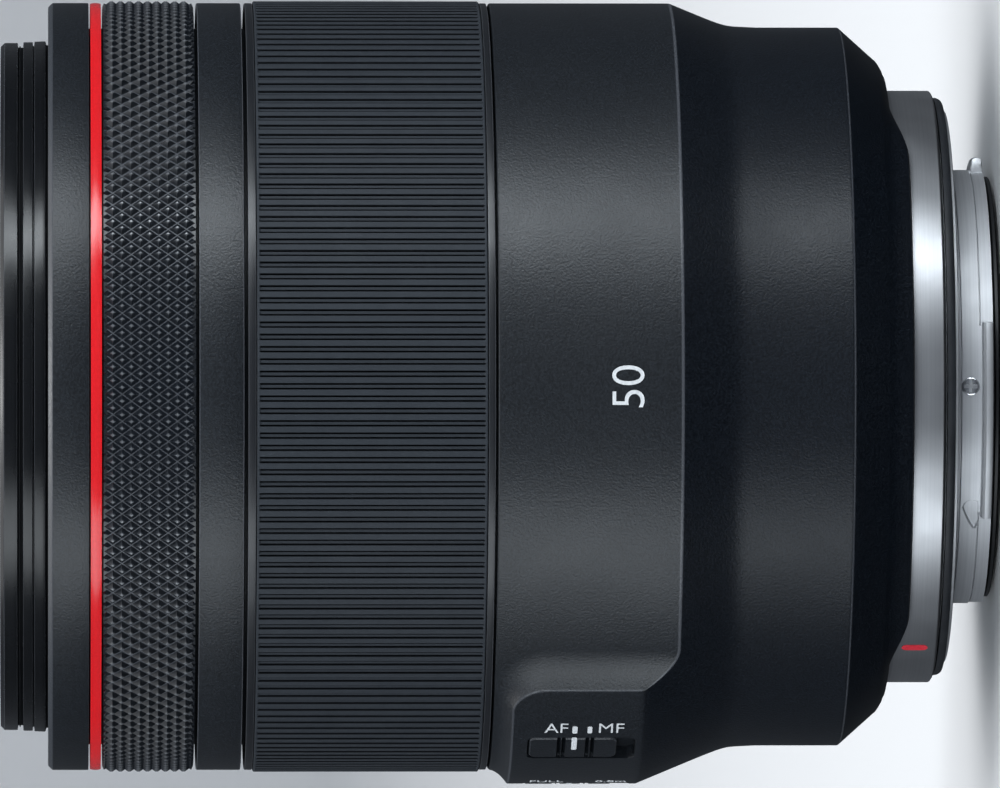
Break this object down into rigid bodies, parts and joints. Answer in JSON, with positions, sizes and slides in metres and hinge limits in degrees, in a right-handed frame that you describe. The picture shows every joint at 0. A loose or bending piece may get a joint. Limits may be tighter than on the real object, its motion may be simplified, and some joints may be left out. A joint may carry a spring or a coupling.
{
  "type": "prime camera lens",
  "caption": "Large-aperture prime lens: knurled control ring, ribbed focus ring, slide switches, focusing unit with cam drive, bladed iris and bayonet mount.",
  "frame": {"origin": "on the optical axis, at the lowest point: the rim of the rear baffle", "axes": "+Z along the optical axis out of the front glass, so the lens stands on its mount end; the side with the printed focal length faces -Y; the switch panel faces -X"},
  "size_m": [0.0897, 0.0882, 0.113],
  "materials": {
    "black_barrel": "satin blue-black paint with a fine speckle",
    "black_metal": "black anodised",
    "black_rubber": "matt black",
    "red_paint": "glossy red paint",
    "silver_metal": "turned and finely brushed",
    "inner_metal": "plain machined",
    "brass": "machined",
    "blade_steel": "blackened",
    "glass": "polished and coated",
    "gold": "gold plated",
    "circuit": "lacquered circuit board",
    "switch_plastic": "satin black"
  },
  "bodies": {
    "lens_body": {"main_sleeve": "black_barrel", "front_cover": "black_barrel", "red_line": "red_paint", "rear_barrel": "black_barrel", "switch_carrier": "circuit", "guide_barrel": "inner_metal", "motor_stator": "inner_metal", "motor_base": "black_metal", "main_board": "circuit", "mount_base": "inner_metal", "mount_ring": "silver_metal", "index_mark": "red_paint", "dust_seal": "black_rubber", "bayonet_mount": "silver_metal", "baffle_screw": "silver_metal", "mount_screw_1": "silver_metal", "mount_screw_2": "silver_metal", "mount_screw_3": "silver_metal", "mount_screw_4": "silver_metal", "rear_group_cell": "black_metal", "glass_group_8": "glass", "glass_group_9": "glass", "rear_baffle": "switch_plastic", "contact_block": "switch_plastic", "contact_pins": "gold"},
    "control_ring": {"control_ring": "black_metal"},
    "focus_ring": {"focus_ring": "black_metal", "focus_grip": "black_rubber"},
    "focus_mode_switch": {"focus_mode_switch": "switch_plastic"},
    "focus_limit_switch": {"focus_limit_switch": "switch_plastic"},
    "cam_drive": {"cam_ring": "brass", "motor_rotor": "brass"},
    "focus_unit": {"front_barrel": "black_metal", "front_trim": "black_metal", "focus_sleeve": "inner_metal", "front_cell": "black_metal", "rear_cell": "black_metal", "glass_group_1": "glass", "glass_group_2": "glass", "glass_group_3": "glass", "glass_group_4": "glass", "glass_group_5": "glass", "glass_group_6": "glass", "glass_group_7": "glass", "cam_pin_1": "brass", "cam_pin_2": "brass", "cam_pin_3": "brass", "iris_base": "black_metal"},
    "iris_ring": {"iris_ring": "black_metal"},
    "iris_blade_01": {"iris_blade_01": "blade_steel"},
    "iris_blade_02": {"iris_blade_02": "blade_steel"},
    "iris_blade_03": {"iris_blade_03": "blade_steel"},
    "iris_blade_04": {"iris_blade_04": "blade_steel"},
    "iris_blade_05": {"iris_blade_05": "blade_steel"},
    "iris_blade_06": {"iris_blade_06": "blade_steel"},
    "iris_blade_07": {"iris_blade_07": "blade_steel"},
    "iris_blade_08": {"iris_blade_08": "blade_steel"},
    "iris_blade_09": {"iris_blade_09": "blade_steel"},
    "iris_blade_10": {"iris_blade_10": "blade_steel"}
  },
  "joints": [
    {"name": "control_ring_turn", "type": "hinge", "parent": "lens_body", "child": "control_ring", "pos_m": [0, 0, 0.09617], "axis": [0, 0, 1], "continuous": true},
    {"name": "focus_ring_turn", "type": "hinge", "parent": "lens_body", "child": "focus_ring", "pos_m": [0, 0, 0.07147], "axis": [0, 0, 1], "continuous": true},
    {"name": "focus_mode_slide", "type": "slide", "parent": "lens_body", "child": "focus_mode_switch", "axis": [0, 0, -1], "range_m": [0, 0.0019]},
    {"name": "focus_limit_slide", "type": "slide", "parent": "lens_body", "child": "focus_limit_switch", "axis": [0, 0, -1], "range_m": [0, 0.0019]},
    {"name": "focus_travel", "type": "slide", "parent": "lens_body", "child": "focus_unit", "axis": [0, 0, 1], "range_m": [0, 0.009]},
    {"name": "cam_turn", "type": "hinge", "parent": "lens_body", "child": "cam_drive", "pos_m": [0, 0, 0.058], "axis": [0, 0, 1], "range_deg": [0, 75]},
    {"name": "iris_turn", "type": "hinge", "parent": "focus_unit", "child": "iris_ring", "pos_m": [0, 0, 0.0687], "axis": [0, 0, 1], "range_deg": [0, 24]},
    {"name": "blade_01_swing", "type": "hinge", "parent": "focus_unit", "child": "iris_blade_01", "pos_m": [0.0266, 0, 0.065], "axis": [0, 0, 1], "range_deg": [0, 36]},
    {"name": "blade_02_swing", "type": "hinge", "parent": "focus_unit", "child": "iris_blade_02", "pos_m": [0.02152, 0.01564, 0.065], "axis": [0, 0, 1], "range_deg": [0, 36]},
    {"name": "blade_03_swing", "type": "hinge", "parent": "focus_unit", "child": "iris_blade_03", "pos_m": [0.00822, 0.0253, 0.065], "axis": [0, 0, 1], "range_deg": [0, 36]},
    {"name": "blade_04_swing", "type": "hinge", "parent": "focus_unit", "child": "iris_blade_04", "pos_m": [-0.00822, 0.0253, 0.065], "axis": [0, 0, 1], "range_deg": [0, 36]},
    {"name": "blade_05_swing", "type": "hinge", "parent": "focus_unit", "child": "iris_blade_05", "pos_m": [-0.02152, 0.01564, 0.065], "axis": [0, 0, 1], "range_deg": [0, 36]},
    {"name": "blade_06_swing", "type": "hinge", "parent": "focus_unit", "child": "iris_blade_06", "pos_m": [-0.0266, 0, 0.065], "axis": [0, 0, 1], "range_deg": [0, 36]},
    {"name": "blade_07_swing", "type": "hinge", "parent": "focus_unit", "child": "iris_blade_07", "pos_m": [-0.02152, -0.01564, 0.065], "axis": [0, 0, 1], "range_deg": [0, 36]},
    {"name": "blade_08_swing", "type": "hinge", "parent": "focus_unit", "child": "iris_blade_08", "pos_m": [-0.00822, -0.0253, 0.065], "axis": [0, 0, 1], "range_deg": [0, 36]},
    {"name": "blade_09_swing", "type": "hinge", "parent": "focus_unit", "child": "iris_blade_09", "pos_m": [0.00822, -0.0253, 0.065], "axis": [0, 0, 1], "range_deg": [0, 36]},
    {"name": "blade_10_swing", "type": "hinge", "parent": "focus_unit", "child": "iris_blade_10", "pos_m": [0.02152, -0.01564, 0.065], "axis": [0, 0, 1], "range_deg": [0, 36]}
  ],
  "couplings": [
    {"joint": "cam_turn", "follows": "focus_travel", "rad_per_m": 145.44},
    {"joint": "blade_01_swing", "follows": "iris_turn", "ratio": 1.5},
    {"joint": "blade_02_swing", "follows": "iris_turn", "ratio": 1.5},
    {"joint": "blade_03_swing", "follows": "iris_turn", "ratio": 1.5},
    {"joint": "blade_04_swing", "follows": "iris_turn", "ratio": 1.5},
    {"joint": "blade_05_swing", "follows": "iris_turn", "ratio": 1.5},
    {"joint": "blade_06_swing", "follows": "iris_turn", "ratio": 1.5},
    {"joint": "blade_07_swing", "follows": "iris_turn", "ratio": 1.5},
    {"joint": "blade_08_swing", "follows": "iris_turn", "ratio": 1.5},
    {"joint": "blade_09_swing", "follows": "iris_turn", "ratio": 1.5},
    {"joint": "blade_10_swing", "follows": "iris_turn", "ratio": 1.5}
  ]
}
